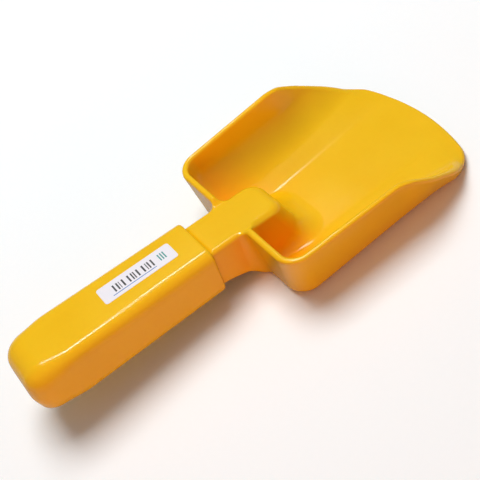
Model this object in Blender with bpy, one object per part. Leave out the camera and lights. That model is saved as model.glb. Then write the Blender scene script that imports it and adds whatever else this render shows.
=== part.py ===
"""Beach sand scoop: an open-fronted bowl with a channel neck, a push-on grip sleeve and a label.

The scoop lies on its flat underside. +Z is up, +Y points out of the bowl's mouth and +X to its right.
The origin is on the flat under the bowl. The functions measure y from the back rim, and build()
moves the finished solids so that the origin is where it belongs.
"""

import math

import bmesh
import bpy

MM = 0.001

# Bowl: rim, outer skirt and front lip
RIM_HEIGHT = 32.5 * MM
RIM_HALF_WIDTH = 50.7 * MM  # at the back rim
RIM_FLARE = 0.049  # half width gained per unit of length towards the mouth
BASE_FLARE = 0.005
SIDE_DRAFT = 7.1 * MM  # how far a side leans in from the rim to the underside
FRONT_FLARE = 0.205  # extra lean of the side walls ahead of the slant's start
FRONT_FLARE_START = 62.0 * MM
FRONT_FLARE_END = 86.0 * MM
BACK_DRAFT = 1.2 * MM
BACK_CORNER_RADIUS = 11.0 * MM
BASE_EDGE_RADIUS = 4.5 * MM
WALL = 3.3 * MM
LIP_APEX = 117.0 * MM  # how far the middle of the lip reaches
LIP_ARC_RADIUS = 118.0 * MM
LIP_CORNER_RADIUS = 18.5 * MM
LIP_SPREAD = 1.9 * MM  # how much wider the bowl grows, on each side, just before the lip
LIP_SPREAD_START = 82.0 * MM
LIP_SPREAD_END = 100.0 * MM
LIP_EDGE_SHARE = 0.3  # the lip's lower edge is rounded less than the foot of the sides
SLANT_START = 66.8 * MM  # where the side rim turns down towards the lip
SLANT_END = 105.0 * MM
SLANT_END_HEIGHT = 4.6 * MM
SLANT_CORNER_RADIUS = 20.0 * MM

# Bowl: inside surface
FLOOR = 3.6 * MM
CREASE_HALF_WIDTH = 19.5 * MM  # half width of the flat floor at the back
CREASE_FLARE = 0.035
HAUNCH_BACK = math.radians(15.0)  # slope of the floor between the crease and the curve
HAUNCH_FRONT = math.radians(4.0)
CURVE_RADIUS_BACK = 22.0 * MM
CURVE_RADIUS_FRONT = 9.0 * MM
INNER_CORNER_RADIUS = 8.0 * MM

# Bowl: hollows under the haunches
HOLLOW_BACK = 9.0 * MM
HOLLOW_FRONT = 92.0 * MM
HOLLOW_SHARE = 0.45  # where between the crease and the curve the hollow starts
SKIRT_BEAD = 3.4 * MM  # the skirt's inner side turns in by this much along its foot

# Neck, raised nose inside the bowl and tang inside the grip
NECK_TILT = math.radians(5.8)  # the handle rises towards its end
NECK_DROP = 2.2 * MM  # the neck's flat top meets the back wall this much below the rim
NECK_SADDLE_SPREAD = 3.0 * MM  # over which the rim dips down to the neck, on each side
NECK_SADDLE_INSET = 0.4 * MM  # how far inside the neck's sides the dip is level
NECK_SADDLE_BACK = -6.0 * MM
NECK_SADDLE_FRONT = 8.0 * MM
SKIM = 0.1 * MM  # keeps a cutter's face off the face it runs along
NECK_HALF_WIDTH = 12.6 * MM
NECK_BASE_HIGH = 11.2 * MM  # height of the neck's underside at the collar
NECK_BASE_LOW = 0.8 * MM  # and where it meets the foot of the bowl
NECK_ARCH_LENGTH = 17.0 * MM
NECK_EDGE_RADIUS = 2.4 * MM
NECK_LENGTH = 18.8 * MM  # back rim to collar
NECK_FILLET_HIGH = 3.5 * MM  # plan fillet between neck and back wall, at the rim
NECK_FILLET_LOW = 9.0 * MM  # and at the foot
NECK_SINK = 0.15 * MM  # how far the foot of the neck's fillet runs into the back wall
NECK_WALL = 2.6 * MM
NOSE_REACH = 21.5 * MM  # how far the flat top runs into the bowl
NOSE_FOOT_REACH = 10.0 * MM  # how much further the nose reaches at the floor
NOSE_FOOT_SPREAD = 3.0 * MM
NOSE_CORNER_RADIUS = 8.0 * MM
NOSE_FOOT_RADIUS = 8.0 * MM
TANG_LENGTH = 40.0 * MM
TANG_STEP = 1.6 * MM  # the tang is this much smaller than the neck on every side
TANG_HALF_WIDTH = NECK_HALF_WIDTH - TANG_STEP
TANG_DEPTH = 19.5 * MM

# Grip sleeve
GRIP_LENGTH = 103.0 * MM
GRIP_END_LEAN = math.radians(3.0)  # the end face leans towards the bowl at its top
GRIP_PROUD = 3.1 * MM  # step from the neck up to the grip
GRIP_HALF_WIDTH = 16.8 * MM
GRIP_DEPTH = 27.1 * MM
GRIP_WALL = 2.2 * MM
GRIP_GROWTH = 1.4 * MM  # the grip is this much wider and deeper at its end
GRIP_TOP_RADIUS = 6.0 * MM
GRIP_BASE_RADIUS = 6.0 * MM
GRIP_END_RADIUS = 11.0 * MM
GRIP_SOCKET_LENGTH = 16.0 * MM  # the stretch by the mouth that hugs the tang
FIT_GAP = 0.3 * MM

# Label
LABEL_LENGTH = 41.0 * MM
LABEL_WIDTH = 11.6 * MM
LABEL_CORNER_RADIUS = 1.4 * MM
LABEL_THICKNESS = 0.25 * MM
LABEL_FROM_COLLAR = 11.5 * MM
LABEL_OFFSET = -1.6 * MM  # it sits slightly to the left of the middle

REST_POINT = 62.0 * MM  # the origin's distance from the back rim, under the flat of the bowl

YELLOW = (0.86, 0.50, 0.012, 1.0)
LABEL_WHITE = (0.80, 0.78, 0.84, 1.0)


def start_empty():
    for old in list(bpy.data.objects):
        bpy.data.objects.remove(old, do_unlink=True)


def make_material(name, colour, roughness):
    material = bpy.data.materials.new(name)
    material.use_nodes = True
    shader = material.node_tree.nodes["Principled BSDF"]
    shader.inputs["Base Color"].default_value = colour
    shader.inputs["Roughness"].default_value = roughness
    shader.inputs["Metallic"].default_value = 0.0
    return material


def mix(a, b, t):
    return a + (b - a) * t


def arc(centre, radius, start, end, steps):
    """Points on a circle arc, with angles in radians, as 2-D tuples."""
    points = []
    for step in range(steps + 1):
        angle = mix(start, end, step / steps)
        points.append((centre[0] + radius * math.cos(angle), centre[1] + radius * math.sin(angle)))
    return points


def loft(name, rings):
    """A closed solid through rings that all hold the same number of points."""
    mesh = bpy.data.meshes.new(name)
    bm = bmesh.new()
    loops = [[bm.verts.new(point) for point in ring] for ring in rings]
    count = len(loops[0])
    for lower, upper in zip(loops, loops[1:]):
        for i in range(count):
            j = (i + 1) % count
            bm.faces.new((lower[i], lower[j], upper[j], upper[i]))
    bm.faces.new(loops[0])
    bm.faces.new(loops[-1])
    bmesh.ops.recalc_face_normals(bm, faces=bm.faces)
    bm.to_mesh(mesh)
    bm.free()
    solid = bpy.data.objects.new(name, mesh)
    bpy.context.scene.collection.objects.link(solid)
    return solid


def combine(target, other, operation):
    """Applies one exact Boolean to the target's mesh and removes the other solid."""
    modifier = target.modifiers.new(operation.lower(), "BOOLEAN")
    modifier.operation = operation
    modifier.solver = "EXACT"
    modifier.object = other
    evaluated = target.evaluated_get(bpy.context.evaluated_depsgraph_get())
    mesh = bpy.data.meshes.new_from_object(evaluated)
    target.modifiers.clear()
    target.data = mesh
    bpy.data.objects.remove(other, do_unlink=True)


# ---------------------------------------------------------------- bowl


def ease(value, low, high):
    """Smooth step from 0 to 1 between two values."""
    share = min(1.0, max(0.0, (value - low) / (high - low)))
    return share * share * (3.0 - 2.0 * share)


def front_lean(y):
    """Extra outward lean of the side walls at y, none at the back and full towards the lip."""
    return FRONT_FLARE * ease(y, FRONT_FLARE_START, FRONT_FLARE_END)


def lip_spread(y):
    """Extra half-width at y, just before the lip."""
    return LIP_SPREAD * ease(y, LIP_SPREAD_START, LIP_SPREAD_END)


def bowl_outline(height, inset):
    """The bowl's outer outline in plan at one height, shrunk by an inset."""
    up = height / RIM_HEIGHT
    half = mix(RIM_HALF_WIDTH - SIDE_DRAFT, RIM_HALF_WIDTH, up) - inset
    flare = mix(BASE_FLARE, RIM_FLARE, up)
    back = BACK_DRAFT * (1.0 - up) + inset
    corner = BACK_CORNER_RADIUS - inset
    lip_radius = LIP_ARC_RADIUS - LIP_EDGE_SHARE * inset
    lip_centre = LIP_APEX - LIP_ARC_RADIUS
    lip_corner = LIP_CORNER_RADIUS - inset
    # centre of the lip corner's arc: inside the side line and inside the lip arc
    lean = math.sqrt(1.0 + flare * flare)
    base = half - lip_corner * lean
    a = 1.0 + flare * flare
    b = base * flare - lip_centre
    c = base * base + lip_centre * lip_centre - (lip_radius - lip_corner) ** 2
    centre_y = (-b + math.sqrt(b * b - a * c)) / a
    centre = (base + flare * centre_y, centre_y)
    towards_lip = math.atan2(centre[1] - lip_centre, centre[0])
    side_normal = math.atan2(-flare, 1.0)
    right = arc((0.0, lip_centre), lip_radius, math.pi / 2, towards_lip, 8)
    right += arc(centre, lip_corner, towards_lip, side_normal, 6)[1:]
    for step in range(8):
        y = mix(FRONT_FLARE_END, FRONT_FLARE_START, step / 7)
        right.append((half + flare * y, y))
    back_centre = (half - corner * lean + flare * (back + corner), back + corner)
    right += arc(back_centre, corner, side_normal, -math.pi / 2, 6)
    right.append((0.0, back))
    right = [(x + (front_lean(y) * height + lip_spread(y)) * x / half, y) for x, y in right]
    left = [(-x, y) for x, y in reversed(right[1:-1])]
    return [(x, y, height) for x, y in right + left]


def bowl_block():
    rings = []
    for step in range(5):
        angle = math.pi / 2 * step / 4
        height = BASE_EDGE_RADIUS * (1.0 - math.cos(angle))
        inset = BASE_EDGE_RADIUS * (1.0 - math.sin(angle))
        rings.append(bowl_outline(height, inset))
    rings.append(bowl_outline(RIM_HEIGHT / 2, 0.0))
    rings.append(bowl_outline(RIM_HEIGHT, 0.0))
    return loft("scoop_body", rings)


def slant_cutter():
    """Everything above the line along which each side rim runs down to the lip."""
    slope = math.atan2(RIM_HEIGHT - SLANT_END_HEIGHT, SLANT_END - SLANT_START)
    tangent = SLANT_CORNER_RADIUS * math.tan(slope / 2)
    top_centre = (SLANT_START - tangent, RIM_HEIGHT - SLANT_CORNER_RADIUS)
    profile = [(SLANT_START - tangent, 2 * RIM_HEIGHT)]
    profile += arc(top_centre, SLANT_CORNER_RADIUS, math.pi / 2, math.pi / 2 - slope, 5)
    profile.append((SLANT_END, SLANT_END_HEIGHT))
    profile.append((LIP_APEX + 20 * MM, SLANT_END_HEIGHT))
    profile.append((LIP_APEX + 20 * MM, 2 * RIM_HEIGHT))
    reach = 1.5 * RIM_HALF_WIDTH
    return loft("slant_cutter", [[(side, y, z) for y, z in profile] for side in (-reach, reach)])


def inner_curve(y, rise=0.0, squeeze=0.0):
    """The inner section at y: its crease, the wall's foot and lean, the curve and the haunch's slope."""
    along = min(1.0, max(0.0, y / LIP_APEX))
    haunch = mix(HAUNCH_BACK, HAUNCH_FRONT, along**4)
    crease = CREASE_HALF_WIDTH + CREASE_FLARE * y - squeeze
    foot = RIM_HALF_WIDTH - SIDE_DRAFT - WALL + BASE_FLARE * y + lip_spread(y) - squeeze
    head = RIM_HALF_WIDTH - WALL + RIM_FLARE * y + lip_spread(y) - squeeze
    lean = (head - foot) / RIM_HEIGHT + front_lean(y)
    radius = mix(CURVE_RADIUS_BACK, CURVE_RADIUS_FRONT, along)
    slope = math.tan(haunch)
    corner_z = (FLOOR + rise + (foot - crease) * slope) / (1.0 - lean * slope)
    tangent = radius * math.tan((math.pi / 2 - math.atan(lean) - haunch) / 2)
    start_x = foot + lean * corner_z - tangent * math.cos(haunch)
    start_z = corner_z - tangent * math.sin(haunch)
    centre = (start_x - radius * math.sin(haunch), start_z + radius * math.cos(haunch))
    return crease, foot, lean, centre, radius, haunch


def inner_half_profile(y, rise, squeeze):
    """Right half of the inner section at y, from the floor's middle out to above the rim."""
    crease, foot, lean, centre, radius, haunch = inner_curve(y, rise, squeeze)
    points = [(0.0, FLOOR + rise), (crease, FLOOR + rise)]
    points += arc(centre, radius, haunch - math.pi / 2, -math.atan(lean), 8)
    top = 1.5 * RIM_HEIGHT
    points.append((foot + lean * top, top))
    return points


def bowl_cavity():
    """The hollow of the bowl, open at the top and through the lip."""
    rings = []
    stations = []
    for step in range(6):
        angle = math.pi / 2 * step / 5
        away = 1.0 - math.cos(angle)
        pinch = 1.0 - math.sin(angle)
        stations.append((WALL + INNER_CORNER_RADIUS * away, INNER_CORNER_RADIUS * pinch))
    stations += [(mix(18.0, 132.0, step / 16) * MM, 0.0) for step in range(17)]
    for y, pinch in stations:
        half = inner_half_profile(y, 0.7 * pinch, pinch)
        section = half + [(-x, z) for x, z in reversed(half[1:])]
        rings.append([(x, y + BACK_DRAFT * (1.0 - z / RIM_HEIGHT), z) for x, z in section])
    return loft("bowl_cavity", rings)


def side_hollow(side):
    """The hollow under one haunch, between the inner skin and the outer skirt, open below."""
    rings = []
    open_end = -5 * MM
    for step in range(7):
        y = mix(HOLLOW_BACK, HOLLOW_FRONT, step / 6)
        crease, foot, lean, centre, radius, haunch = inner_curve(y)
        draft = math.atan(lean)
        skin = radius + WALL
        start = haunch - math.pi / 2
        end = -draft - math.acos(radius / skin)
        under = arc(centre, skin, start, end, 5)
        inner_x = mix(crease, under[0][0], HOLLOW_SHARE)
        inner_z = under[0][1] - (under[0][0] - inner_x) * math.tan(haunch)
        bead_x = foot - SKIRT_BEAD
        section = [(inner_x, open_end), (inner_x, inner_z)] + under
        section += [(foot + lean * SKIRT_BEAD, SKIRT_BEAD), (bead_x, 0.0), (bead_x, open_end)]
        rings.append([(side * x, y, z) for x, z in section])
    return loft("side_hollow", rings)


# ---------------------------------------------------------------- neck and nose


def on_axis(distance, x, up):
    """A point of the handle: distance back from the rim, x to the right, up from the neck's top."""
    y = -distance * math.cos(NECK_TILT) + up * math.sin(NECK_TILT)
    z = RIM_HEIGHT - NECK_DROP + distance * math.sin(NECK_TILT) + up * math.cos(NECK_TILT)
    return (x, y, z)


def channel_section(half, depth, edge):
    """A flat-topped section with rounded upper edges, as points of x and height below the top."""
    right = [(0.0, 0.0)] + arc((half - edge, -edge), edge, math.pi / 2, 0.0, 4)
    right.append((half, -depth))
    return right + [(-x, z) for x, z in reversed(right[1:])]


def neck_top(y):
    """Height of the neck's flat top, which falls towards the mouth."""
    return RIM_HEIGHT - NECK_DROP - y * math.tan(NECK_TILT)


def neck_base(y):
    """Height of the neck's underside: level by the collar, arching down to the foot of the bowl."""
    behind = min(1.0, max(0.0, -y / NECK_ARCH_LENGTH))
    return NECK_BASE_LOW + (NECK_BASE_HIGH - NECK_BASE_LOW) * (1.0 - (1.0 - behind) ** 1.25)


def neck_spread(y, z):
    """How far the neck's side bends outwards where it runs into the back wall."""
    radius = mix(NECK_FILLET_LOW, NECK_FILLET_HIGH, z / RIM_HEIGHT)
    inside = max(0.0, radius + min(0.0, y))
    return radius - math.sqrt(radius * radius - inside * inside)


def neck_block():
    """The neck from the collar to inside the back wall, with the fillet where they meet."""
    rings = []
    for step in range(13):
        y = -NECK_LENGTH * (1.0 - step / 12) ** 1.4
        top = neck_top(y)
        base = neck_base(y)
        edge = NECK_EDGE_RADIUS
        right = [(0.0, top)] + arc((NECK_HALF_WIDTH - edge, top - edge), edge, math.pi / 2, 0.0, 4)
        right += [(NECK_HALF_WIDTH, mix(top - edge, base, level / 5)) for level in range(1, 6)]
        right = [(x + neck_spread(y, z) * min(1.0, x / NECK_HALF_WIDTH), z) for x, z in right]
        section = right + [(-x, z) for x, z in reversed(right[1:])]
        near = 1.0 + y / NECK_LENGTH
        sunk = near * NECK_SINK
        rings.append(
            [(x, y + sunk + near * BACK_DRAFT * (1.0 - z / RIM_HEIGHT), z) for x, z in section]
        )
    lowered = 0.99
    rings.append(
        [(x, mix(1.4 * WALL, 0.65 * WALL, z / RIM_HEIGHT), z * lowered) for x, y, z in rings[-1]]
    )
    return loft("neck_block", rings)


def tang_block():
    """The narrower tang that the grip is pushed onto."""
    section = channel_section(TANG_HALF_WIDTH, TANG_DEPTH, NECK_EDGE_RADIUS)
    rings = []
    for distance in (NECK_LENGTH + TANG_LENGTH, NECK_LENGTH - 2 * MM):
        rings.append([on_axis(distance, x, z - TANG_STEP) for x, z in section])
    return loft("tang_block", rings)


def saddle_cutter():
    """Lowers the back rim to the neck's flat top where the neck crosses it."""
    foot = NECK_HALF_WIDTH - NECK_SADDLE_INSET
    head = foot + NECK_SADDLE_SPREAD
    rings = []
    for y in (NECK_SADDLE_BACK, NECK_SADDLE_FRONT):
        low = neck_top(y)
        section = [(foot, low), (head, RIM_HEIGHT + SKIM), (head, 2 * RIM_HEIGHT)]
        rings.append([(x, y, z) for x, z in section + [(-x, z) for x, z in reversed(section)]])
    return loft("saddle_cutter", rings)


def nose_outline(reach, half, corner, height):
    """The nose in plan: straight sides, a flat front and two rounded corners."""
    right = [(0.0, reach)]
    right += arc((half - corner, reach - corner), corner, math.pi / 2, 0.0, 6)
    right.append((half, 0.5 * WALL))
    outline = right + [(-x, y) for x, y in reversed(right[1:])]
    return [(x, y, height(y)) for x, y in outline]


def nose_block():
    """The raised nose: the neck's flat top carried into the bowl and down to the floor."""
    rings = []
    for step in range(5):
        angle = math.pi / 2 * step / 4
        out = NOSE_FOOT_RADIUS * (1.0 - math.sin(angle))
        level = FLOOR - 0.6 * MM + NOSE_FOOT_RADIUS * (1.0 - math.cos(angle))
        fall = 1.0 - level / RIM_HEIGHT
        reach = NOSE_REACH + NOSE_FOOT_REACH * fall + out
        half = NECK_HALF_WIDTH + NOSE_FOOT_SPREAD * fall + 0.5 * out
        rings.append(nose_outline(reach, half, NOSE_CORNER_RADIUS + 0.5 * out, lambda y: level))
    edge = NECK_EDGE_RADIUS
    for step in range(4):
        angle = math.pi / 2 * step / 3
        inset = edge * (1.0 - math.cos(angle))
        drop = edge * (1.0 - math.sin(angle))
        corner = NOSE_CORNER_RADIUS - inset
        rings.append(
            nose_outline(NOSE_REACH - inset, NECK_HALF_WIDTH - inset, corner, lambda y: neck_top(y) - drop)
        )
    return loft("nose_block", rings)


def channel_hollow():
    """The hollow under the tang, the neck and the nose, open below."""
    section = channel_section(TANG_HALF_WIDTH - NECK_WALL, RIM_HEIGHT * 2, NECK_EDGE_RADIUS * 0.5)
    rings = []
    for distance in (NECK_LENGTH + TANG_LENGTH + 10 * MM, NECK_LENGTH - 4 * MM, 0.0):
        rings.append([on_axis(distance, x, z - TANG_STEP - NECK_WALL) for x, z in section])
    front = NOSE_REACH - NECK_WALL
    ring = []
    for x, z in section:
        lean = NOSE_FOOT_REACH * min(1.0, -z / RIM_HEIGHT)
        ring.append((x, front + lean, neck_top(front) + z - TANG_STEP - NECK_WALL))
    rings.append(ring)
    return loft("channel_hollow", rings)


def scoop_body(material):
    body = bowl_block()
    combine(body, slant_cutter(), "DIFFERENCE")
    combine(body, bowl_cavity(), "DIFFERENCE")
    combine(body, neck_block(), "UNION")
    combine(body, tang_block(), "UNION")
    combine(body, nose_block(), "UNION")
    combine(body, saddle_cutter(), "DIFFERENCE")
    combine(body, channel_hollow(), "DIFFERENCE")
    for side in (-1, 1):
        combine(body, side_hollow(side), "DIFFERENCE")
    body.data.materials.clear()
    body.data.materials.append(material)
    return body


# ---------------------------------------------------------------- grip and label


def grip_section(distance, inset):
    """The grip's outer section at a distance behind the collar, shrunk by an inset."""
    growth = GRIP_GROWTH * distance / GRIP_LENGTH
    half = GRIP_HALF_WIDTH + growth - inset
    top = GRIP_PROUD - inset
    base = GRIP_PROUD - GRIP_DEPTH - growth + inset
    upper = max(1.0 * MM, GRIP_TOP_RADIUS - inset)
    lower = max(1.0 * MM, GRIP_BASE_RADIUS - inset)
    right = [(0.0, top)]
    right += arc((half - upper, top - upper), upper, math.pi / 2, 0.0, 6)
    right += arc((half - lower, base + lower), lower, 0.0, -math.pi / 2, 6)
    right.append((0.0, base))
    section = right + [(-x, z) for x, z in reversed(right[1:-1])]
    lean = math.tan(GRIP_END_LEAN) * max(0.0, 2 * distance / GRIP_LENGTH - 1.0)
    behind = NECK_LENGTH + FIT_GAP + distance
    return [on_axis(behind - lean * (z - GRIP_PROUD + GRIP_DEPTH), x, z) for x, z in section]


def grip_solid(name, start, inset):
    """The grip's rounded block from a distance behind the collar, shrunk by an inset."""
    rings = [grip_section(start, inset), grip_section(GRIP_LENGTH * 0.5, inset)]
    for step in range(8):
        angle = 0.485 * math.pi * step / 7
        distance = GRIP_LENGTH - GRIP_END_RADIUS * (1.0 - math.sin(angle)) - inset
        rings.append(grip_section(distance, inset + GRIP_END_RADIUS * (1.0 - math.cos(angle))))
    return loft(name, rings)


def grip_sleeve(material):
    """The push-on grip: a thin rounded shell whose mouth hugs the tang."""
    sleeve = grip_solid("grip_sleeve", 0.0, 0.0)
    hollow = grip_solid("grip_hollow", GRIP_SOCKET_LENGTH, GRIP_WALL)
    half = TANG_HALF_WIDTH + FIT_GAP
    socket = channel_section(half, TANG_DEPTH + 2 * FIT_GAP, NECK_EDGE_RADIUS)
    rings = []
    for distance in (NECK_LENGTH - 5 * MM, NECK_LENGTH + GRIP_SOCKET_LENGTH + 3 * MM):
        rings.append([on_axis(distance, x, z - TANG_STEP + FIT_GAP) for x, z in socket])
    combine(hollow, loft("grip_socket", rings), "UNION")
    combine(sleeve, hollow, "DIFFERENCE")
    sleeve.data.materials.clear()
    sleeve.data.materials.append(material)
    return sleeve


def label(material):
    """A thin rounded rectangle just above the grip's flat top."""
    half_length = LABEL_LENGTH / 2
    half_width = LABEL_WIDTH / 2
    r = LABEL_CORNER_RADIUS
    outline = []
    for sx, sy, start in ((1, 1, 0.0), (-1, 1, 0.5), (-1, -1, 1.0), (1, -1, 1.5)):
        centre = (sx * (half_width - r), sy * (half_length - r))
        outline += arc(centre, r, start * math.pi, (start + 0.5) * math.pi, 4)
    middle = NECK_LENGTH + LABEL_FROM_COLLAR + half_length
    base = GRIP_PROUD + FIT_GAP
    rings = []
    for height in (base, base + LABEL_THICKNESS):
        rings.append([on_axis(middle - y, x + LABEL_OFFSET, height) for x, y in outline])
    sticker = loft("label", rings)
    sticker.data.materials.append(material)
    return sticker


def shade(solid, angle):
    solid.data.shade_smooth()
    solid.data.set_sharp_from_angle(angle=angle)


def build():
    start_empty()
    body_plastic = make_material("body_plastic", YELLOW, 0.28)
    grip_plastic = make_material("grip_plastic", YELLOW, 0.25)
    label_film = make_material("label_film", LABEL_WHITE, 0.35)
    solids = [scoop_body(body_plastic), grip_sleeve(grip_plastic), label(label_film)]
    for solid in solids:
        shade(solid, math.radians(35.0))
        solid.location.y = -REST_POINT


build()
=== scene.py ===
"""Beach sand scoop: the fine surfaces, materials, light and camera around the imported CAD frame.

The bowl with its neck, and the grip, are modelled as distance fields: each flat, draft and rounding
is a term of the field, and the mesh is laid over the field's zero level. Lengths in the fields are
millimetres, x to the right, y forward from the back rim, z up from the underside.
"""

import math

import bpy
import numpy as np
from mathutils import Matrix, Vector


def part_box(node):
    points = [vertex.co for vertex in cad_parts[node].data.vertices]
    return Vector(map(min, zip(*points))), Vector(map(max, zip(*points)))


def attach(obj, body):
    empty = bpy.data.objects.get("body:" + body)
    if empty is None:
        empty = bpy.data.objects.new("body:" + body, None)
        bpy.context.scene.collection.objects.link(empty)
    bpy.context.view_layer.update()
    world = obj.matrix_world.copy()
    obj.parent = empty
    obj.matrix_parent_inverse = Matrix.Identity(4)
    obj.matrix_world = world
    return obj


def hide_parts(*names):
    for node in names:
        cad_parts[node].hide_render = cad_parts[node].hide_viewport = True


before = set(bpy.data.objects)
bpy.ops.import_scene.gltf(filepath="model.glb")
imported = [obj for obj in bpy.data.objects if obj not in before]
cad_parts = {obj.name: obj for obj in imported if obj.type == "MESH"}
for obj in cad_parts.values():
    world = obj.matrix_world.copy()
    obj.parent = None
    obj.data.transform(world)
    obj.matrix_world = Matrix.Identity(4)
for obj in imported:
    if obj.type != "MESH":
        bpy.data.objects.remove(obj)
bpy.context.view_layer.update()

MM = 0.001

# Where the CAD puts the pieces, and how fine and how far the fields are sampled
BODY_LOW, BODY_HIGH = [Vector(corner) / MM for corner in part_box("scoop_body")]
GRIP_LOW, GRIP_HIGH = [Vector(corner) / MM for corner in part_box("grip_sleeve")]
LIP_APEX = 117.0  # how far the lip's middle is from the back rim
BACK_RIM = BODY_HIGH.y - LIP_APEX
CELL = 0.72
MARGIN = 2.5

# Bowl, outside
RIM = 32.5  # the level rim's height
RIM_HALF = 50.7  # half width at the back rim
RIM_FLARE = 0.049  # half width gained per unit of length towards the mouth
BASE_HALF = 43.6
BASE_FLARE = 0.005
BACK_DRAFT = 1.2
BACK_CORNER = 11.0
BASE_EDGE = 4.5
LIP_RADIUS = 118.0
LIP_CORNER = 12.2  # acts like a larger radius, because the side meets the lip at an obtuse angle
LIP_SPREAD = 1.9  # how much wider the bowl grows, on each side, just before the lip
LIP_SPREAD_START = 82.0
LIP_SPREAD_END = 100.0
LIP_EDGE = 1.3
LIP_EDGE_START = 90.0  # where the foot's rounding starts to shrink to the lip's
LIP_EDGE_END = 108.0
SLANT_START = 66.8  # where the side rim turns down towards the lip
SLANT_END = 105.0
SLANT_END_HEIGHT = 4.6
SLANT_CORNER = 3.8  # also acts like a larger radius
SLANT_FOOT = 2.5
FRONT_FLARE = 0.205  # extra lean of the side walls ahead of the slant's start
FRONT_FLARE_START = 62.0
FRONT_FLARE_END = 86.0

# Bowl, inside
WALL = 3.3
FLOOR = 3.6
CREASE_HALF = 19.5  # half width of the flat floor at the back
CREASE_FLARE = 0.035
CREASE_SOFTNESS_BACK = 1.0
CREASE_SOFTNESS_FRONT = 2.6
HAUNCH_BACK = math.radians(15.0)  # slope of the floor beyond the crease
HAUNCH_FRONT = math.radians(4.0)
CURVE_BACK = 15.8
CURVE_FRONT = 6.3
INNER_CORNER = 8.0
RIM_EDGE_OUT = 1.7
RIM_EDGE_IN = 1.2
RIM_EDGE_BLEND = 0.8  # over which the rim's inner rounding turns into its outer one
SLANT_EDGE_OUT = 2.2
SLANT_EDGE_BLEND = 14.0

# Grooves under the haunches
HOLLOW_BACK = 9.0
HOLLOW_FRONT = 92.0
HOLLOW_INSET = 4.0  # from the crease to the groove's inner side
HOLLOW_EDGE = 1.0

# Neck, nose and tang
TILT = math.radians(5.8)
NECK_DROP = 2.2  # the neck's flat top meets the back wall this much below the rim
NECK_HALF = 12.6
NECK_END = 18.8
NECK_EDGE = 2.2
NECK_UNDER = 11.1  # height of the neck's underside by the collar
NECK_UNDER_EDGE = 1.2
NECK_FOOT = 0.8  # and where it meets the foot of the bowl
NECK_FOOT_SLOPE = 0.74
NECK_ARCH = 8.0
NECK_FILLET_LOW = 9.0  # fillet between the neck and the back wall at the foot
NECK_FILLET_HIGH = 3.5  # and at the rim
NECK_MOUTH_EDGE = 0.6
NOSE_REACH = 21.5
NOSE_LEAN = 10.0  # how much further the nose reaches at the floor
NOSE_SPREAD = 3.0
NOSE_CORNER = 7.5
NOSE_EDGE = 3.4
NOSE_FILLET_BACK = 3.5
NOSE_FILLET_FRONT = 9.5
NOSE_CLEAR = 40.0  # ahead of the nose, where its rounding no longer acts
TANG_STEP = 1.6
TANG_DEPTH = 19.5
TANG_LENGTH = 40.0
TANG_EDGE = 2.0
TANG_OVERLAP = 2.0
CHANNEL_WALL = 2.6
CHANNEL_EDGE = 1.5
CUT_EDGE = 0.6  # rounding where the hollows below meet the outside

# Grip
GRIP_LENGTH = 103.0
GRIP_GAP = 0.3
GRIP_HALF = 16.8
GRIP_PROUD = 3.1  # step from the neck up to the grip
GRIP_DEPTH = 27.1
GRIP_GROWTH = 1.4  # the grip is this much wider and deeper at its end
GRIP_EDGE = 6.0
GRIP_LOAF = 10.0  # rounding of the long edges near the end
GRIP_LOAF_START = 26.0  # measured back from the end
GRIP_LOAF_END = 8.0
GRIP_END_EDGE = 11.0
GRIP_END_LEAN = math.radians(3.0)
GRIP_DENT = 1.0  # depth of the shallow dent across the end
GRIP_DENT_BELOW = 18.0
GRIP_DENT_REACH = 3.5
GRIP_MOUTH_EDGE = 1.3
GRIP_WALL = 2.2
GRIP_SOCKET = 16.0  # the stretch by the mouth that hugs the tang
GRIP_SOCKET_EDGE = 1.0

# Label
LABEL_LENGTH = 40.5
LABEL_WIDTH = 11.5
LABEL_CORNER = 1.4
LABEL_OFFSET = -1.6
LABEL_START = 11.5
LABEL_THICKNESS = 0.12
LABEL_LIFT = 0.02

# The label's print, in millimetres from the label's middle
BARS_ALONG = (-15.0, 9.0)
BARS_ACROSS = (-2.6, 2.2)
RULE_ACROSS = (3.2, 3.7)
PATCH_ALONG = (11.6, 15.8)

# Colours and finish
YELLOW = (0.88, 0.505, 0.004, 1.0)
YELLOW_LIGHT = (0.91, 0.54, 0.007, 1.0)
YELLOW_SPECK = (0.80, 0.41, 0.004, 1.0)
# painted shade: the deeper orange laid into the hollows in place of shade
ORANGE_PAINTED_SHADE = (0.98, 0.37, 0.002, 1.0)
PLASTIC_ROUGHNESS = 0.15
FILM_WHITE = (0.80, 0.78, 0.84, 1.0)
FILM_WHITE_LIGHT = (0.86, 0.84, 0.89, 1.0)
INK_BLACK = (0.035, 0.035, 0.04, 1.0)
INK_BLUE = (0.10, 0.22, 0.50, 1.0)
INK_GREEN = (0.05, 0.30, 0.28, 1.0)
PAPER = (0.94, 0.965, 0.975, 1.0)
PAPER_LIGHT = (0.96, 0.985, 0.995, 1.0)
PAPER_BOUNCE = (0.55, 0.55, 0.55, 1.0)
CARD_ORANGE = (1.0, 0.30, 0.02)
WHITE = (1.0, 1.0, 1.0, 1.0)


# ---------------------------------------------------------------- field tools


def mix(a, b, t):
    return a + (b - a) * t


def smoothstep(value, low, high):
    t = np.clip((value - low) / (high - low), 0.0, 1.0)
    return t * t * (3.0 - 2.0 * t)


def round_union(a, b, radius):
    """Both solids joined, with the inside corner between them filled to a radius."""
    reach = np.hypot(np.maximum(radius - a, 0.0), np.maximum(radius - b, 0.0))
    return np.maximum(np.minimum(a, b), radius) - reach


def round_intersect(a, b, radius):
    """What both solids share, with the edge between them rounded to a radius."""
    reach = np.hypot(np.maximum(radius + a, 0.0), np.maximum(radius + b, 0.0))
    return np.minimum(np.maximum(a, b), -radius) + reach


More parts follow.
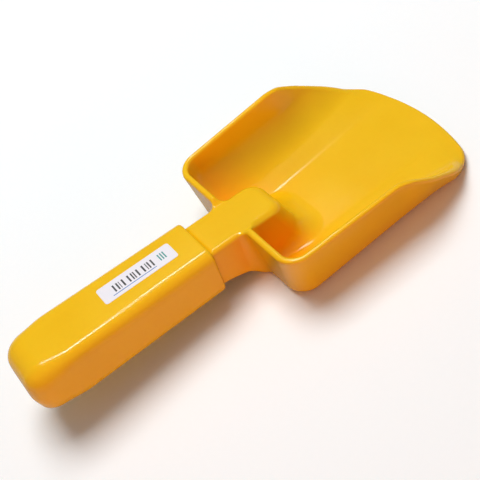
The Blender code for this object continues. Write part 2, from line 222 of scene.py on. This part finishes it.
def surface_net(field, low, high, cell):
    """Vertices, outward normals and quads over a field's zero level inside a box."""
    axes = [np.arange(low[i], high[i] + cell, cell, dtype=np.float64) for i in range(3)]
    grid = np.meshgrid(*axes, indexing="ij")
    inside = field(*grid) < 0.0
    counts = np.zeros([len(axis) - 1 for axis in axes], dtype=np.int8)
    for dx in (0, 1):
        for dy in (0, 1):
            for dz in (0, 1):
                counts += inside[
                    dx : dx + counts.shape[0], dy : dy + counts.shape[1], dz : dz + counts.shape[2]
                ]
    active = (counts > 0) & (counts < 8)
    index = np.full(counts.shape, -1, dtype=np.int64)
    index[active] = np.arange(active.sum())
    cells = np.argwhere(active)
    centres = np.array([axes[i][cells[:, i]] for i in range(3)]).T + cell / 2
    points, normals = settle(field, centres, cell)
    quads = []
    for axis in range(3):
        quads.append(crossing_quads(inside, index, axis))
    return points, normals, np.concatenate(quads)


def gradient(field, points, step):
    slopes = []
    for axis in range(3):
        shift = np.zeros(3)
        shift[axis] = step
        ahead = field(*(points + shift).T)
        behind = field(*(points - shift).T)
        slopes.append((ahead - behind) / (2 * step))
    return np.array(slopes).T


def settle(field, centres, cell):
    """Moves each point from its cell's centre onto the surface, without leaving the cell."""
    points = centres.copy()
    for _ in range(5):
        slope = gradient(field, points, 0.02)
        size = np.maximum((slope**2).sum(axis=1), 0.05)
        points -= slope * (field(*points.T) / size)[:, None]
        points = np.clip(points, centres - 0.7 * cell, centres + 0.7 * cell)
    slope = gradient(field, points, 0.08)
    return points, slope / np.linalg.norm(slope, axis=1)[:, None]


def crossing_quads(inside, index, axis):
    """One quad for each grid edge along an axis whose ends lie on different sides."""
    along = np.moveaxis(inside, axis, 0)
    cells = np.moveaxis(index, axis, 0)
    start = along[:-1, 1:-1, 1:-1]
    end = along[1:, 1:-1, 1:-1]
    i, j, k = np.nonzero(start != end)
    corners = [cells[i, j, k], cells[i, j + 1, k], cells[i, j + 1, k + 1], cells[i, j, k + 1]]
    quads = np.array(corners).T
    leaving = start[i, j, k] != (axis == 1)
    quads[~leaving] = quads[~leaving][:, ::-1]
    return quads


def mesh_piece(name, field, low, high, cell, material):
    """A smooth-shaded piece meshed from a field, inside a CAD box and a margin around it."""
    start = (low.x - MARGIN, low.y - BACK_RIM - MARGIN, low.z - MARGIN)
    end = (high.x + MARGIN, high.y - BACK_RIM + MARGIN, high.z + MARGIN)
    points, normals, quads = surface_net(field, start, end, cell)
    points[:, 1] += BACK_RIM
    mesh = bpy.data.meshes.new(name)
    mesh.from_pydata((points * MM).tolist(), [], quads.tolist())
    mesh.shade_smooth()
    mesh.normals_split_custom_set_from_vertices(normals.tolist())
    mesh.materials.append(material)
    piece = bpy.data.objects.new(name, mesh)
    bpy.context.scene.collection.objects.link(piece)
    return piece


# ---------------------------------------------------------------- bowl and neck


def handle_place(y, z):
    """Distance back along the handle from the rim, and height above the neck's flat top."""
    height = z - RIM + NECK_DROP
    back = -y * math.cos(TILT) + height * math.sin(TILT)
    above = y * math.sin(TILT) + height * math.cos(TILT)
    return back, above


def side_line(x, y, z, inset):
    """Distance outside a drafted, flaring side wall."""
    up = z / RIM
    half = mix(BASE_HALF, RIM_HALF, up) + mix(BASE_FLARE, RIM_FLARE, up) * y - inset
    half = half + FRONT_FLARE * smoothstep(y, FRONT_FLARE_START, FRONT_FLARE_END) * np.maximum(z, 0.0)
    half = half + LIP_SPREAD * smoothstep(y, LIP_SPREAD_START, LIP_SPREAD_END)
    lean = (RIM_HALF - BASE_HALF) / RIM
    return (np.abs(x) - half) / math.sqrt(1.0 + lean * lean)


def bowl_outside(x, y, z):
    back = BACK_DRAFT * (1.0 - z / RIM) - y
    walls = round_intersect(side_line(x, y, z, 0.0), back, BACK_CORNER)
    lip = np.hypot(x, y - (LIP_APEX - LIP_RADIUS)) - LIP_RADIUS
    return round_intersect(walls, lip, LIP_CORNER)


def bowl_inside(x, y, z):
    """Negative in the bowl's hollow: floor, haunches, curves, walls and back."""
    along = np.clip(y / LIP_APEX, 0.0, 1.0)
    beyond = np.abs(x) - CREASE_HALF - CREASE_FLARE * y
    haunch = mix(HAUNCH_BACK, HAUNCH_FRONT, along**4)
    softness = mix(CREASE_SOFTNESS_BACK, CREASE_SOFTNESS_FRONT, along**2)
    rise = 0.5 * np.tan(haunch) * (beyond + np.hypot(beyond, softness))
    floor = (FLOOR + rise - z) * np.cos(haunch)
    curve = mix(CURVE_BACK, CURVE_FRONT, along)
    section = round_intersect(floor, side_line(x, y, z, WALL), curve)
    back = BACK_DRAFT * (1.0 - z / RIM) + WALL - y
    return round_intersect(section, back, INNER_CORNER)


def top_limit(x, y, z):
    """The level rim, the slanted side rims and the neck's tilted flat, as one upper bound."""
    on_neck = 1.0 - smoothstep(np.abs(x), NECK_HALF - 1.0, NECK_HALF + 4.0)
    flat = z - RIM + (NECK_DROP + y * math.tan(TILT)) * on_neck
    angle = math.atan2(RIM - SLANT_END_HEIGHT, SLANT_END - SLANT_START)
    slant = (z - RIM) * math.cos(angle) + (y - SLANT_START) * math.sin(angle)
    return round_union(round_intersect(flat, slant, SLANT_CORNER), z - SLANT_END_HEIGHT, SLANT_FOOT)


def neck_sides(x, y, z):
    """Neck and nose in plan: near-vertical sides, a leaning front and two rounded corners."""
    fall = 1.0 - z / RIM
    half = NECK_HALF + NOSE_SPREAD * fall * smoothstep(y, 0.0, 8.0)
    side = np.abs(x) - half
    lean = NOSE_LEAN / RIM
    front = (y - NOSE_REACH - NOSE_LEAN * fall) / math.sqrt(1.0 + lean * lean)
    return round_intersect(side, front, NOSE_CORNER)


def neck_under(y, z):
    """The neck's underside: level by the collar, then falling to the foot of the bowl."""
    slope = math.atan(NECK_FOOT_SLOPE)
    falling = (NECK_FOOT - NECK_FOOT_SLOPE * y - z) * math.cos(slope)
    return round_union(falling, NECK_UNDER - z, NECK_ARCH)


def tang(x, back, above):
    side = np.abs(x) - (NECK_HALF - TANG_STEP)
    cap = np.maximum(above + TANG_STEP, -TANG_STEP - TANG_DEPTH - above)
    ends = np.maximum(back - NECK_END - TANG_LENGTH, NECK_END - TANG_OVERLAP - back)
    return np.maximum(round_intersect(side, cap, TANG_EDGE), ends)


def haunch_hollow(x, y, z, outside, hollow):
    """The groove under each haunch, between the floor's skin and the outer skirt."""
    skirt = outside + WALL + np.maximum(WALL - z, 0.0)
    inner = CREASE_HALF + CREASE_FLARE * y + HOLLOW_INSET - np.abs(x)
    ends = np.maximum(HOLLOW_BACK - y, y - HOLLOW_FRONT)
    section = round_intersect(round_intersect(WALL - hollow, skirt, HOLLOW_EDGE), inner, HOLLOW_EDGE)
    return round_intersect(section, ends, HOLLOW_EDGE)


def body_field(x, y, z):
    outside = bowl_outside(x, y, z)
    hollow = bowl_inside(x, y, z)
    foot_edge = mix(BASE_EDGE, LIP_EDGE, smoothstep(y, LIP_EDGE_START, LIP_EDGE_END))
    shell = round_intersect(round_intersect(outside, -z, foot_edge), -hollow, LIP_EDGE)

    back, above = handle_place(y, z)
    sides = neck_sides(x, y, z)
    neck = round_intersect(sides, neck_under(y, z), NECK_UNDER_EDGE)
    neck = round_intersect(neck, back - NECK_END, NECK_MOUTH_EDGE)
    behind = mix(NECK_FILLET_LOW, NECK_FILLET_HIGH, z / RIM)
    ahead = mix(NOSE_FILLET_BACK, NOSE_FILLET_FRONT, smoothstep(y, 6.0, 28.0))
    solid = round_union(shell, neck, mix(behind, ahead, smoothstep(y, 1.0, 3.0)))
    solid = np.maximum(solid, -z)

    outer_half = smoothstep(outside + hollow, -RIM_EDGE_BLEND, RIM_EDGE_BLEND)
    slanted = smoothstep(y, SLANT_START, SLANT_START + SLANT_EDGE_BLEND)
    edge = mix(RIM_EDGE_IN, mix(RIM_EDGE_OUT, SLANT_EDGE_OUT, slanted), outer_half)
    on_neck = 1.0 - smoothstep(np.abs(x), NECK_HALF + 1.0, NECK_HALF + 5.0)
    before_lip = 1.0 - smoothstep(y, NOSE_CLEAR, 1.5 * NOSE_CLEAR)
    on_nose = smoothstep(y, 3.0, 8.0) * before_lip * on_neck
    on_tail = smoothstep(-y, 1.0, 5.0) * on_neck
    edge = mix(mix(edge, NOSE_EDGE, on_nose), NECK_EDGE, on_tail)
    solid = round_intersect(solid, top_limit(x, y, z), edge)

    solid = np.minimum(solid, tang(x, back, above))
    channel = round_intersect(
        np.maximum(np.abs(x) - (NECK_HALF - TANG_STEP - CHANNEL_WALL), sides + CHANNEL_WALL),
        above + TANG_STEP + CHANNEL_WALL,
        CHANNEL_EDGE,
    )
    solid = round_intersect(solid, -channel, CUT_EDGE)
    return round_intersect(solid, -haunch_hollow(x, y, z, outside, hollow), CUT_EDGE)


# ---------------------------------------------------------------- grip and label


def grip_block(x, back, above, inset):
    """The grip's block, growing and rounding off towards its end, shrunk by an inset."""
    along = back - NECK_END - GRIP_GAP
    growth = GRIP_GROWTH * along / GRIP_LENGTH
    side = np.abs(x) - GRIP_HALF - growth + inset
    cap = np.maximum(above - GRIP_PROUD, GRIP_PROUD - GRIP_DEPTH - growth - above) + inset
    low = above - GRIP_PROUD + GRIP_DEPTH
    end = (along - GRIP_LENGTH) * math.cos(GRIP_END_LEAN) + low * math.sin(GRIP_END_LEAN) + inset
    end = end + GRIP_DENT * np.exp(-(((above + GRIP_DENT_BELOW) / GRIP_DENT_REACH) ** 2))
    loaf = smoothstep(along, GRIP_LENGTH - GRIP_LOAF_START, GRIP_LENGTH - GRIP_LOAF_END)
    edge = mix(GRIP_EDGE, GRIP_LOAF, loaf) - inset
    share = edge / (GRIP_END_EDGE - inset)
    reach = np.hypot(np.maximum(edge + side, 0.0), np.maximum(edge + cap, 0.0))
    reach = np.hypot(reach, np.maximum(edge + end * share, 0.0))
    return np.minimum(np.maximum(np.maximum(side, cap), end * share), -edge) + reach, along


def grip_field(x, y, z):
    back, above = handle_place(y, z)
    block, along = grip_block(x, back, above, 0.0)
    block = round_intersect(block, -along, GRIP_MOUTH_EDGE)
    hollow, _ = grip_block(x, back, above, GRIP_WALL)
    hollow = round_intersect(hollow, GRIP_SOCKET - along, GRIP_SOCKET_EDGE)
    socket = np.maximum(tang(x, back, above) - GRIP_GAP, along - GRIP_SOCKET - GRIP_SOCKET_EDGE)
    return np.maximum(block, -np.minimum(hollow, socket))


def label_piece(material):
    """A thin film with rounded corners, lying on the grip's flat top."""
    half_width = LABEL_WIDTH / 2
    half_length = LABEL_LENGTH / 2
    outline = []
    for sx, sy, turn in ((1, 1, 0), (-1, 1, 1), (-1, -1, 2), (1, -1, 3)):
        for step in range(9):
            angle = (turn + step / 8) * math.pi / 2
            x = sx * (half_width - LABEL_CORNER) + LABEL_CORNER * math.cos(angle)
            y = sy * (half_length - LABEL_CORNER) + LABEL_CORNER * math.sin(angle)
            outline.append((x, y))
    levels = ((1.0, 0.0), (1.0, 0.7), (0.985, 1.0))
    points = []
    for scale, height in levels:
        points += [(x * scale * MM, y * scale * MM, height * LABEL_THICKNESS * MM) for x, y in outline]
    count = len(outline)
    faces = []
    for level in range(len(levels) - 1):
        for i in range(count):
            j = (i + 1) % count
            low = level * count
            faces.append((low + i, low + j, low + count + j, low + count + i))
    faces.append(tuple(reversed(range(count))))
    faces.append(tuple(range((len(levels) - 1) * count, len(levels) * count)))
    mesh = bpy.data.meshes.new("label_film")
    mesh.from_pydata(points, [], faces)
    mesh.materials.append(material)
    piece = bpy.data.objects.new("label_film", mesh)
    bpy.context.scene.collection.objects.link(piece)
    back = NECK_END + GRIP_GAP + LABEL_START + half_length
    up = GRIP_PROUD + LABEL_LIFT
    y = -back * math.cos(TILT) + up * math.sin(TILT) + BACK_RIM
    z = RIM - NECK_DROP + back * math.sin(TILT) + up * math.cos(TILT)
    piece.matrix_world = Matrix.Translation(Vector((LABEL_OFFSET, y, z)) * MM) @ Matrix.Rotation(
        -TILT, 4, "X"
    )
    return piece


# ---------------------------------------------------------------- materials


class Nodes:
    """A short way to add and link shader nodes."""

    def __init__(self, name):
        self.material = bpy.data.materials.new(name)
        self.material.use_nodes = True
        self.tree = self.material.node_tree
        self.shader = self.tree.nodes["Principled BSDF"]

    def add(self, kind, inputs=(), **settings):
        node = self.tree.nodes.new(kind)
        for key, value in settings.items():
            setattr(node, key, value)
        for key, value in dict(inputs).items():
            self.set(node.inputs[key], value)
        return node

    def set(self, socket, value):
        if isinstance(value, bpy.types.NodeSocket):
            self.tree.links.new(value, socket)
        else:
            socket.default_value = value

    def math(self, operation, *values):
        node = self.add("ShaderNodeMath", operation=operation)
        for socket, value in zip(node.inputs, values):
            self.set(socket, value)
        return node.outputs[0]

    def noise(self, vector, scale, detail=3.0, roughness=0.5):
        inputs = {"Vector": vector, "Scale": scale, "Detail": detail, "Roughness": roughness}
        return self.add("ShaderNodeTexNoise", inputs).outputs["Fac"]

    def span(self, value, low, high, start, end):
        inputs = {0: value, 1: low, 2: high, 3: start, 4: end}
        return self.add("ShaderNodeMapRange", inputs).outputs[0]

    def blend(self, factor, first, second):
        node = self.add("ShaderNodeMix", data_type="RGBA")
        self.set(node.inputs[0], factor)
        self.set(node.inputs[6], first)
        self.set(node.inputs[7], second)
        return node.outputs[2]


def yellow_plastic(name):
    """Moulded polypropylene: warm yellow with clouds and scuffs, and a painted shade of deeper orange
    where the walls close in.
    """
    n = Nodes(name)
    place = n.add("ShaderNodeTexCoord").outputs["Object"]
    clouds = n.noise(place, 28.0, 2.0)
    specks = n.noise(place, 420.0, 2.0)
    tone = n.span(clouds, 0.3, 0.7, 0.0, 1.0)
    colour = n.blend(tone, YELLOW, YELLOW_LIGHT)
    tint = n.math("MULTIPLY", n.span(specks, 0.45, 0.75, 0.0, 1.0), 0.10)
    colour = n.blend(tint, colour, YELLOW_SPECK)
    # Painted shade: an occlusion mask turns the colour deeper orange where the part's own walls close
    # in, in place of shade and bounced light
    shade_occlusion = n.add("ShaderNodeAmbientOcclusion", {"Distance": 0.035}, samples=8, only_local=True)
    painted_shade = n.span(shade_occlusion.outputs["AO"], 0.45, 0.88, 0.85, 0.0)
    colour = n.blend(painted_shade, colour, ORANGE_PAINTED_SHADE)

    stretched = n.add("ShaderNodeMapping", {"Vector": place, "Scale": (1.0, 0.06, 1.0)})
    hairs = n.noise(stretched.outputs[0], 900.0, 4.0, 0.7)
    scuffs = n.span(hairs, 0.60, 0.74, 0.0, 1.0)
    patches = n.span(n.noise(place, 60.0, 3.0), 0.45, 0.65, 0.0, 1.0)
    worn = n.math("MULTIPLY", scuffs, patches)
    rough = n.math("ADD", PLASTIC_ROUGHNESS, n.math("MULTIPLY", tone, 0.03))
    rough = n.math("ADD", rough, n.math("MULTIPLY", worn, 0.12))

    peel = n.noise(place, 240.0, 2.0)
    grain = n.noise(place, 2600.0, 2.0)
    height = n.math("ADD", n.math("MULTIPLY", peel, 0.8), n.math("MULTIPLY", grain, 0.12))
    height = n.math("SUBTRACT", height, n.math("MULTIPLY", worn, 0.10))
    bump = n.add("ShaderNodeBump", {"Height": height, "Strength": 0.35, "Distance": 0.00012})

    n.set(n.shader.inputs["Base Color"], colour)
    n.set(n.shader.inputs["Roughness"], rough)
    n.set(n.shader.inputs["Normal"], bump.outputs[0])
    n.set(n.shader.inputs["IOR"], 1.45)
    n.set(n.shader.inputs["Subsurface Weight"], 0.12)
    n.set(n.shader.inputs["Subsurface Radius"], (1.0, 0.5, 0.05))
    n.set(n.shader.inputs["Subsurface Scale"], 0.002)
    return n.material


def label_film():
    """White film with a plain printed pattern: a row of bars, a thin rule and a striped patch."""
    n = Nodes("label_film")
    place = n.add("ShaderNodeTexCoord").outputs["Object"]
    axes = n.add("ShaderNodeSeparateXYZ", {"Vector": place}).outputs
    across = n.math("DIVIDE", axes[0], MM)
    along = n.math("DIVIDE", axes[1], MM)

    def between(value, limits):
        above = n.math("GREATER_THAN", value, limits[0])
        below = n.math("LESS_THAN", value, limits[1])
        return n.math("MULTIPLY", above, below)

    ladder = n.math("SINE", n.math("MULTIPLY", along, 3.9))
    second = n.math("SINE", n.math("MULTIPLY", along, 2.3))
    bars = n.math("GREATER_THAN", n.math("ADD", ladder, second), 0.35)
    field = n.math("MULTIPLY", between(along, BARS_ALONG), between(across, BARS_ACROSS))
    bars = n.math("MULTIPLY", bars, field)
    rule = n.math("MULTIPLY", between(along, BARS_ALONG), between(across, RULE_ACROSS))
    patch = n.math("MULTIPLY", between(along, PATCH_ALONG), between(across, BARS_ACROSS))
    stripes = n.math("GREATER_THAN", n.math("SINE", n.math("MULTIPLY", along, 4.6)), 0.0)
    patch = n.math("MULTIPLY", patch, stripes)

    fibres = n.noise(place, 1500.0, 3.0)
    colour = n.blend(fibres, FILM_WHITE, FILM_WHITE_LIGHT)
    colour = n.blend(bars, colour, INK_BLACK)
    colour = n.blend(rule, colour, INK_BLUE)
    colour = n.blend(patch, colour, INK_GREEN)
    bump = n.add("ShaderNodeBump", {"Height": fibres, "Strength": 0.15, "Distance": 0.00005})
    n.set(n.shader.inputs["Base Color"], colour)
    n.set(n.shader.inputs["Roughness"], n.span(fibres, 0.3, 0.7, 0.30, 0.42))
    n.set(n.shader.inputs["Normal"], bump.outputs[0])
    return n.material


def floor_paper():
    """Seamless white studio paper with a barely visible tooth, duller in what it throws back."""
    n = Nodes("floor_paper")
    place = n.add("ShaderNodeTexCoord").outputs["Object"]
    tooth = n.noise(place, 350.0, 3.0)
    paper = n.blend(tooth, PAPER, PAPER_LIGHT)
    seen = n.add("ShaderNodeLightPath").outputs["Is Camera Ray"]
    colour = n.blend(seen, PAPER_BOUNCE, paper)
    n.set(n.shader.inputs["Base Color"], colour)
    n.set(n.shader.inputs["Roughness"], 0.9)
    n.set(n.shader.inputs["Specular IOR Level"], 0.1)
    return n.material


# ---------------------------------------------------------------- studio


def studio_floor():
    mesh = bpy.data.meshes.new("studio_floor")
    half = 12.0
    height = BODY_LOW.z * MM - 0.0002
    corners = [(-half, -half), (half, -half), (half, half), (-half, half)]
    mesh.from_pydata([(x, y, height) for x, y in corners], [], [(0, 1, 2, 3)])
    mesh.materials.append(floor_paper())
    floor = bpy.data.objects.new("studio_floor", mesh)
    bpy.context.scene.collection.objects.link(floor)


def area_light(name, place, size, power):
    """A soft box at a place in metres from the middle of the back rim, aimed at that rim."""
    data = bpy.data.lights.new(name, "AREA")
    data.shape = "RECTANGLE"
    data.size = size[0]
    data.size_y = size[1]
    data.energy = power
    light = bpy.data.objects.new(name, data)
    away = Vector(place)
    light.location = Vector((0.0, BACK_RIM * MM, 0.0)) + away
    light.rotation_euler = away.to_track_quat("Z", "Y").to_euler()
    bpy.context.scene.collection.objects.link(light)
    return light


def studio_light():
    """Soft light from above, a strip for each long highlight, and a warm card for the near sides."""
    key = area_light("key_softbox", (-0.38, 0.10, 1.29), (0.8, 0.8), 16.4)
    key.visible_glossy = False
    strips = [
        area_light("bowl_strip", (-0.575, 0.240, 0.926), (0.14, 0.06), 1.7),
        area_light("grip_strip", (-0.367, 0.040, 1.060), (0.24, 0.11), 3.4),
    ]
    for strip in strips:
        strip.visible_diffuse = False
    card = area_light("warm_card", (0.86, -0.30, 0.14), (0.7, 0.22), 0.66)
    card.data.spread = math.radians(70.0)
    card.data.color = CARD_ORANGE
    card.visible_glossy = False
    world = bpy.data.worlds.new("studio_world")
    world.use_nodes = True
    background = world.node_tree.nodes["Background"]
    background.inputs["Color"].default_value = WHITE
    background.inputs["Strength"].default_value = 0.2
    bpy.context.scene.world = world
    bpy.context.scene.view_settings.view_transform = "Standard"


def studio_camera():
    """Seen from the right, behind and above, with the camera turned about its own axis."""
    azimuth = math.radians(75.84)
    elevation = math.radians(46.19)
    roll = math.radians(-28.7)
    distance = 473.3
    target = Vector((8.9, BACK_RIM - 2.4, 23.6))
    level = math.cos(elevation)
    forward = Vector((-math.sin(azimuth) * level, math.cos(azimuth) * level, -math.sin(elevation)))
    right = Vector((math.cos(azimuth), math.sin(azimuth), 0.0))
    up = right.cross(forward)
    turned_right = math.cos(roll) * right + math.sin(roll) * up
    turned_up = math.cos(roll) * up - math.sin(roll) * right
    data = bpy.data.cameras.new("studio_camera")
    data.lens = 75.0
    data.sensor_width = 36.0
    camera = bpy.data.objects.new("studio_camera", data)
    rotation = Matrix((turned_right, turned_up, -forward)).transposed().to_4x4()
    camera.matrix_world = Matrix.Translation((target - forward * distance) * MM) @ rotation
    bpy.context.scene.collection.objects.link(camera)
    bpy.context.scene.camera = camera


# ---------------------------------------------------------------- build


def place(piece, node, slot):
    """Hides the CAD node a piece stands for and hangs the piece on the root body; the slot argument is
    not used.
    """
    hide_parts(node)
    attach(piece, "root")


def build():
    cell = CELL
    plastic = yellow_plastic("body_plastic")
    body = mesh_piece("scoop_shell", body_field, BODY_LOW, BODY_HIGH, cell, plastic)
    place(body, "scoop_body", "body_plastic")
    plastic = yellow_plastic("grip_plastic")
    grip = mesh_piece("grip_shell", grip_field, GRIP_LOW, GRIP_HIGH, cell, plastic)
    place(grip, "grip_sleeve", "grip_plastic")
    place(label_piece(label_film()), "label", "label_film")
    studio_floor()
    studio_light()
    studio_camera()


build()
